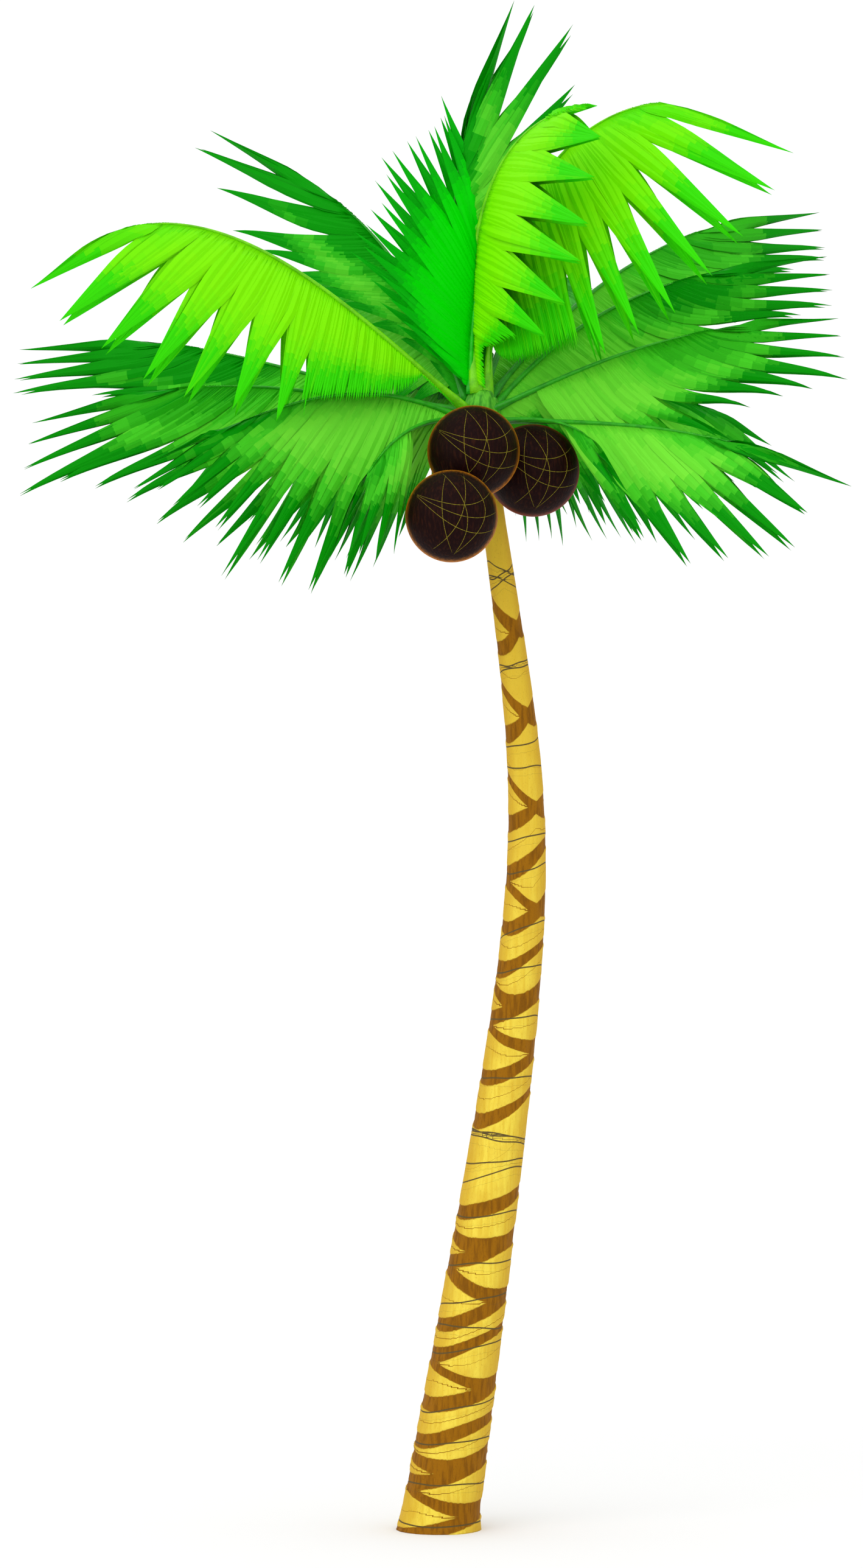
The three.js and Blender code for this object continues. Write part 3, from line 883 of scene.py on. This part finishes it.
def blades_mesh(name, corners, tone, paints):
    """One mesh of many thin closed blades, whose sections have four corners each."""
    count, stations = corners.shape[:2]
    ring = np.arange(4)
    station = np.arange(stations - 1)[:, None] * 4
    walls = np.stack(
        [station + ring, station + (ring + 1) % 4, station + 4 + (ring + 1) % 4, station + 4 + ring], -1
    )
    ends = np.array([[3, 2, 1, 0], ring + 4 * (stations - 1)])
    one = np.concatenate([walls.reshape(-1, 4), ends])
    faces = (one[None] + np.arange(count)[:, None, None] * 4 * stations).reshape(-1, 4)
    mesh = bpy.data.meshes.new(name)
    mesh.from_pydata(corners.reshape(-1, 3), [], faces)
    for paint in paints:
        mesh.materials.append(paint)
    painted = np.concatenate([np.repeat(tone, 4, axis=1), tone[:, :1], tone[:, -1:]], axis=1)
    mesh.polygons.foreach_set("material_index", painted.ravel())
    mesh.polygons.foreach_set("use_smooth", np.ones(len(faces), bool))
    edges = np.empty(len(mesh.edges) * 2, int)
    mesh.edges.foreach_get("vertices", edges)
    lengthways = edges[0::2] % 4 == edges[1::2] % 4
    mesh.attributes.new("sharp_edge", "BOOLEAN", "EDGE").data.foreach_set("value", lengthways)
    return added(name, mesh)


def nodes_of(frond):
    """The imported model's nodes for a frond. A strongly arched one is parted in two."""
    wanted = [f"frond_{frond.name}{end}" for end in ("", "_inner", "_outer")]
    return [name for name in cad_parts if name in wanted]


for seed, frond in enumerate(FRONDS, start=FIRST_SEED):
    corners, tone = grow_leaflets(frond, seed)
    leaflets = blades_mesh(f"frond_{frond.name}_leaflets", corners, tone, leaf_paints[frond.tint])
    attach(leaflets, "root")
    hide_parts(*nodes_of(frond))
    print(frond.name, "leaflets:", len(corners))

# %% [markdown]
# ## Ribs
# The rib is a tube that tapers from a broad, flat stalk at the heart to a point at the frond's tip.

# %% Ribs
RIB_SIDES = 10
RIB_RINGS = 44
RIB_TAPER = 0.8
# Half width and half depth: what tapers off, what is left at the tip, and what the stalk adds.
RIB_HALVES = ((0.017, 0.003, 0.026), (0.013, 0.002, 0.008))
STALK_SHARE = 0.12  # of the rib
RIBS = {"lime": (124, 218, 10), "pure": (20, 200, 10), "mid": (50, 172, 24), "deep": (24, 156, 12)}


def rib_paint(tint):
    """Smooth green skin with blotches and fine darker specks."""
    paint = Paint(f"rib_{tint}", Roughness=0.42, Specular_IOR_Level=0.3)
    blotches = paint.noise(scale=18, detail=3)
    specks = paint.noise(scale=140, detail=2)
    red, green, blue = RIBS[tint]
    shaded = linear(red * 0.8, green * 0.86, blue)
    dark = linear(red * 0.55, green * 0.7, blue * 0.6)
    colour = paint.mix(blotches.step(0.35, 0.7), linear(red, green, blue), shaded)
    paint.drive(Base_Color=paint.mix(specks.step(0.55, 0.75) * 0.35, colour, dark))
    paint.bump(specks, 0.002)
    return paint.material


rib_paints = {tint: rib_paint(tint) for tint in RIBS}


def rib_spots(frond):
    line = rib_line(frond)
    side = direction(frond.heading - 90, 0)

    def spot_of(around, along):
        middle, forward = bezier(line, along * root_of(frond, 1.0))
        over = np.cross(side, forward)
        stalk = 1 - smoothstep(along, 0.0, STALK_SHARE)
        taper = (1 - along) ** RIB_TAPER
        wide, deep = (most * taper + least + more * stalk for most, least, more in RIB_HALVES)
        return oval(middle, side, over, wide, deep, around)

    return spot_of


for frond in FRONDS:
    tube = rolled(RIB_SIDES, RIB_RINGS, rib_spots(frond))
    rib = finished(f"frond_{frond.name}_rib", tube, rib_paints[frond.tint])
    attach(rib, "root")
print("ribs:", len(FRONDS))

# %% [markdown]
# ## The heart
# The heart is the bulb of leaf bases from which the fronds grow. On a real palm each base is a broad green
# sheath that clasps the bulb and browns into a net of fibre lower down. A bulb with painted lines would
# look flat at this size, so the sheaths are pieces of their own: thin shells that follow the bulb, broad
# at the foot and narrow where the stalk leaves, laid over a bulb of coarse fibre.

# %% Heart
HEART_FOOT = TRUNK_TOP - 0.02
HEART_TOP = 5.622
HEART_SHARES = [0, 0.3, 0.65, 0.93, 1]
HEART_RADII = [0.058, 0.088, 0.076, 0.053, 0.018]
HEART_AXIS = trunk_middle(TRUNK_TOP)
FIBRE_GREENS = (5.45, 5.50)  # heights between which the fibre turns from brown to green
SHEATH_GREENS = (5.40, 5.47)
SHEATH_FOOT = 0.11  # how far below its frond's seat a sheath starts
SHEATH_HEIGHT = 0.13
SHEATH_HALVES = (0.052, 0.026)  # half its width at the foot, and by how much less at the top
SHEATH_LIFT = 0.004  # of its middle off the bulb
SHEATH_THICKNESS = (0.004, 0.008)  # half of it at both ends, and how much more between


def heart_radius(height):
    share = np.clip((height - HEART_FOOT) / (HEART_TOP - HEART_FOOT), 0, 1)
    return np.interp(share, HEART_SHARES, HEART_RADII)


def round_heart(radius, turn, height):
    return np.column_stack([HEART_AXIS + radius * np.cos(turn), radius * np.sin(turn), height])


def heart_spots(around, along):
    """The bulb, with nine shallow ribs that wind up it and a fine fluting."""
    turn = around * TAU
    height = HEART_FOOT + (HEART_TOP - HEART_FOOT) * along
    fluting = 1 + 0.04 * np.sin(9 * turn + 14 * along) + 0.015 * np.sin(31 * turn)
    return round_heart(heart_radius(height) * fluting, turn, height)


def sheath_spots(frond):
    """A curved shell that lies on the bulb below a frond's seat and narrows towards it."""
    height, radius = TIERS[frond.tier]
    seat = math.radians(frond.heading if frond.seat is None else frond.seat)

    def spot_of(around, along):
        turn = around * TAU
        level = height - SHEATH_FOOT + SHEATH_HEIGHT * along
        half = (SHEATH_HALVES[0] - SHEATH_HALVES[1] * along) / radius
        thick = SHEATH_THICKNESS[0] + SHEATH_THICKNESS[1] * np.sqrt(np.sin(math.pi * along.clip(0, 1)))
        out = heart_radius(level) + SHEATH_LIFT + thick * np.sin(turn)
        return round_heart(out, seat + half * np.cos(turn), level)

    return spot_of


fibre_paint = Paint("heart_fibre", Roughness=0.9)
weave = fibre_paint.noise(scale=120, detail=4, stretch=(1, 1, 0.2))
fibre_brown = fibre_paint.mix(weave.step(0.35, 0.65), linear(150, 112, 58), linear(88, 60, 28))
fibre_green = fibre_paint.mix(weave.step(0.35, 0.65), linear(92, 184, 40), linear(40, 128, 16))
greening = (fibre_paint.coordinate("Z") + weave * 0.05).step(*FIBRE_GREENS)
fibre_paint.drive(Base_Color=fibre_paint.mix(greening, fibre_brown, fibre_green))
fibre_paint.bump(weave, 0.004)
heart = finished("heart_fibre", rolled(72, 60, heart_spots), fibre_paint.material)
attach(heart, "root")
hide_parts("heart")

sheath_paint = Paint("sheath", Roughness=0.6, Specular_IOR_Level=0.2)
streaks = sheath_paint.noise(scale=60, detail=4, stretch=(1, 1, 0.12))
sheath_green = sheath_paint.mix(streaks.step(0.35, 0.7), linear(98, 196, 46), linear(48, 140, 20))
sheath_brown = sheath_paint.mix(streaks.step(0.35, 0.7), linear(170, 140, 60), linear(104, 76, 30))
greening = (sheath_paint.coordinate("Z") + streaks * 0.06).step(*SHEATH_GREENS)
sheath_paint.drive(Base_Color=sheath_paint.mix(greening, sheath_brown, sheath_green))
sheath_paint.bump(streaks, 0.003)
shells = bmesh.new()
for frond in FRONDS:
    rolled(16, 10, sheath_spots(frond), shells)
sheaths = finished("heart_sheaths", shells, sheath_paint.material)
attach(sheaths, "root")
print("sheaths:", len(FRONDS))

# %% [markdown]
# ## Nuts
# Three ripe nuts hang in front of the trunk on their stalks. The husk is nearly black, with painted rim
# light in a warm band round its edge as seen from the front, and pale strands of fibre cross it. The
# strands are thin tubes on both faces of a nut, as painted lines would leave the exported mesh bare.

# %% Nuts
# Colour of the painted rim light round each husk, between its front and its back, in place of light glancing
# off its edge.
PAINTED_RIM_LIGHTS = {"upper": (184, 108, 6), "right": (120, 40, 8), "lower": (190, 114, 8)}


def husk_paint(name):
    """Nearly black in front and behind, with painted rim light on the band that faces neither."""
    paint = Paint(f"husk_{name}", Roughness=0.6, Specular_IOR_Level=0.08)
    streaks = paint.noise(scale=90, detail=4, stretch=(1, 1, 0.2))
    dark = paint.mix(streaks.step(0.45, 0.8), linear(20, 0, 0), linear(46, 16, 4))
    red, green, blue = PAINTED_RIM_LIGHTS[name]
    painted_rim_light = paint.mix(streaks.step(0.4, 0.8), linear(red, green, blue), linear(red * 0.7, green * 0.62, blue))
    # Painted rim light: warm paint where the husk turns away from the front, dark paint in front and behind.
    away = abs(paint.coordinate("Y") - NUT_PLACES[name][0][1]) / nut_radii(name)[1]
    paint.drive(Base_Color=paint.mix((away + streaks * 0.2).step(0.12, 0.5), painted_rim_light, dark))
    paint.bump(streaks, 0.003)
    return paint.material


strand_paint = Paint("husk_strand", Roughness=0.7, Specular_IOR_Level=0.1)
shades = strand_paint.noise(scale=150, detail=2).step(0.4, 0.7)
strand_paint.drive(Base_Color=strand_paint.mix(shades, linear(138, 126, 34), linear(92, 80, 20)))
# Start, middle and end of each strand on a nut of radius 1, across and up.
STRANDS = [
    [(-0.13, 0.86), (-0.20, 0.02), (0.01, -0.81)],
    [(-0.25, 0.95), (0.33, 0.02), (0.05, -0.84)],
    [(0.25, 0.90), (0.20, -0.05), (-0.40, -0.73)],
    [(0.20, 0.85), (0.72, 0.02), (0.05, -0.84)],
    [(-0.81, 0.47), (0.25, 0.20), (0.82, 0.50)],
    [(-0.81, 0.47), (0.25, -0.04), (0.95, 0.07)],
    [(-0.81, 0.47), (0.15, -0.30), (0.90, -0.30)],
]
STRAND_RADIUS = 0.0014
STRAND_TAPER = 0.6  # share of its thickness that it loses towards both ends
WIDEST = 0.97  # how far from a nut's middle a strand may run, seen from the front
NEAR = 0.01  # share of a strand over which its direction is measured


def strand_spots(strand, spin):
    """A strand laid on a round nut of radius 1 by pushing its flat curve out to the surface."""
    a, b, c = (np.array(point) for point in strand)
    knee = 2 * b - (a + c) / 2
    turned = np.array([[math.cos(spin), -math.sin(spin), 0], [math.sin(spin), math.cos(spin), 0], [0, 0, 1]])

    def curve(share):
        t = share[:, None]
        flat = (1 - t) ** 2 * a + 2 * t * (1 - t) * knee + t**2 * c
        size = np.linalg.norm(flat, axis=1)
        flat = flat * np.minimum(1, WIDEST / np.maximum(size, 1e-6))[:, None]
        front = -np.sqrt(np.clip(1 - (flat**2).sum(1), 0, 1))
        return unit(np.column_stack([flat[:, 0], front, flat[:, 1]]) @ turned.T)

    def spot_of(around, along):
        out = curve(along)
        ahead = unit(curve(np.minimum(along + NEAR, 1)) - curve(np.maximum(along - NEAR, 0)))
        beside = np.cross(out, ahead)
        thin = STRAND_RADIUS / NUT_RADIUS * (1 - STRAND_TAPER * np.abs(2 * along - 1) ** 4)
        return oval(out, out, beside, thin, thin, around)

    return spot_of


def nut_radii(name):
    """Half of a nut's width, depth and height. A nearer nut is smaller, so that all look alike."""
    radius = NUT_RADIUS * NUT_PLACES[name][1]
    return radius, radius * NUT_DEPTH, radius


def set_in_place(bm, name):
    """Brings a shape modelled on a nut of radius 1 to its nut's size and place."""
    bmesh.ops.scale(bm, vec=nut_radii(name), verts=bm.verts)
    bmesh.ops.translate(bm, vec=NUT_PLACES[name][0], verts=bm.verts)


def nut(name):
    husk = bmesh.new()
    bmesh.ops.create_uvsphere(husk, u_segments=96, v_segments=64, radius=1)
    strands = bmesh.new()
    for spin in (0, math.pi):
        for strand in STRANDS:
            rolled(6, 30, strand_spots(strand, spin), strands)
    set_in_place(husk, name)
    set_in_place(strands, name)
    return [
        finished(f"nut_{name}", husk, husk_paint(name)),
        finished(f"nut_{name}_strands", strands, strand_paint.material),
    ]


for name in NUTS:
    for piece in nut(name):
        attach(piece, "root")
print("nuts:", len(NUTS))

# %% [markdown]
# ## Fruit stalks
# Each nut hangs from the heart on a branch of the woody fruit stalk, which ends in the cap of stiff scales
# that holds the nut. The branches come from behind, so that the front shows only the nuts. A branch is a
# tube that swells and thins as wood does, and a cap is a tube that opens into a scalloped lid.

# %% Fruit stalks
STALK_ROOT = Vector((CROWN[0], -0.03, 5.44))
STALK_RADIUS = 0.015
STALK_SAG = 0.07
STALK_FLUTING = 0.08
CAP_RADIUS = 0.075
CAP_SCALLOP = 0.25  # share of its radius that is cut back between two scales
CAP_LIFT = 0.03  # off the husk, as a share of the nut's radius
CAP_TILT = math.radians(58)  # backwards from the nut's top
CAP_TURN = np.array(
    [[1, 0, 0], [0, math.cos(CAP_TILT), math.sin(CAP_TILT)], [0, -math.sin(CAP_TILT), math.cos(CAP_TILT)]]
)


def on_nut(name, shape):
    """Places for a shape modelled round the top of a nut of radius 1."""
    return shape @ CAP_TURN.T * nut_radii(name) + np.array(NUT_PLACES[name][0])


def stalk_spots(name):
    end = on_nut(name, np.array([[0, 0, 0.97]]))[0]
    before = on_nut(name, np.array([[0, 0.1, 1.5]]))[0]
    root = np.array(STALK_ROOT)
    line = [root, root * 0.6 + before * 0.4 - [0, 0, STALK_SAG], before, end]

    def spot_of(around, along):
        spot, forward = bezier(line, along)
        beside = unit(np.cross(forward, [1, 0.1, 0.1]))
        over = np.cross(beside, forward)
        turn = around * TAU
        thick = STALK_RADIUS * (1.1 - 0.4 * along) * (1 + STALK_FLUTING * np.sin(5 * turn + 9 * along))
        return oval(spot, beside, over, thick, thick, around)

    return spot_of


def cap_spots(name):
    """A shallow lid on the nut, with a rim of six scales."""

    def spot_of(around, along):
        turn = around * TAU
        scales = 1 - CAP_SCALLOP * np.abs(np.sin(3 * turn)) * along
        spread = CAP_RADIUS / NUT_RADIUS * np.minimum(along * 2, 1) * scales
        lifted = 1 + CAP_LIFT * np.where(along < 0.5, 1, 2 * (1 - along))
        flat = np.column_stack([spread * np.cos(turn), spread * np.sin(turn)])
        crown = np.sqrt(np.clip(1 - (flat**2).sum(1), 0, 1))
        return on_nut(name, np.column_stack([flat, crown]) * lifted[:, None])

    return spot_of


wood_paint = Paint("fruit_stalk", Roughness=0.75)
wood_lines = wood_paint.noise(scale=70, detail=3, stretch=(1, 1, 0.3))
wood = wood_paint.mix(wood_lines.step(0.35, 0.7), linear(140, 160, 50), linear(92, 92, 26))
wood_paint.drive(Base_Color=wood)
wood_paint.bump(wood_lines, 0.002)
branches = bmesh.new()
for name in NUTS:
    rolled(14, 40, stalk_spots(name), branches)
    rolled(48, 12, cap_spots(name), branches)
stalks = finished("nut_stalks", branches, wood_paint.material)
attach(stalks, "root")
print("fruit stalks:", len(NUTS))
